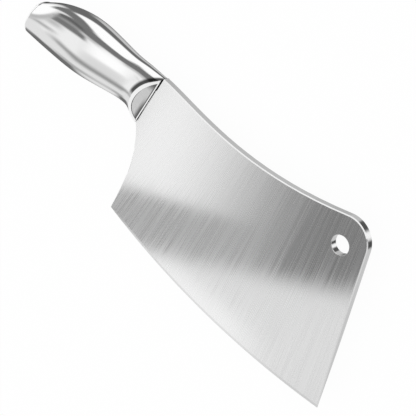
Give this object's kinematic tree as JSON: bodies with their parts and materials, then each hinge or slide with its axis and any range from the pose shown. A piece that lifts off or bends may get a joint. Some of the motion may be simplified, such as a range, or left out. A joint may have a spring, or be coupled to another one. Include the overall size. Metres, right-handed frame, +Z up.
{
  "type": "cleaver",
  "caption": "All-steel kitchen cleaver with a broad ground blade, rounded front corner with hanging hole, hollow spine line and an arched, polished hollow handle.",
  "frame": {"origin": "middle of the knife's box, on the surface that it lies on", "axes": "lying on its left side: +X from the handle to the front of the blade, +Y from the cutting edge to the spine, +Z up out of the right side of the blade"},
  "size_m": [0.275, 0.116, 0.0254],
  "materials": {
    "brushed_plate": "brushed across the blade's height",
    "bolster_steel": "fine satin",
    "polished_skin": "mirror polish on bare steel"
  },
  "bodies": {
    "root": {"blade": "brushed_plate", "bolster": "bolster_steel", "handle_shell_right": "polished_skin", "handle_shell_left": "polished_skin", "end_cap": "polished_skin"}
  },
  "joints": []
}
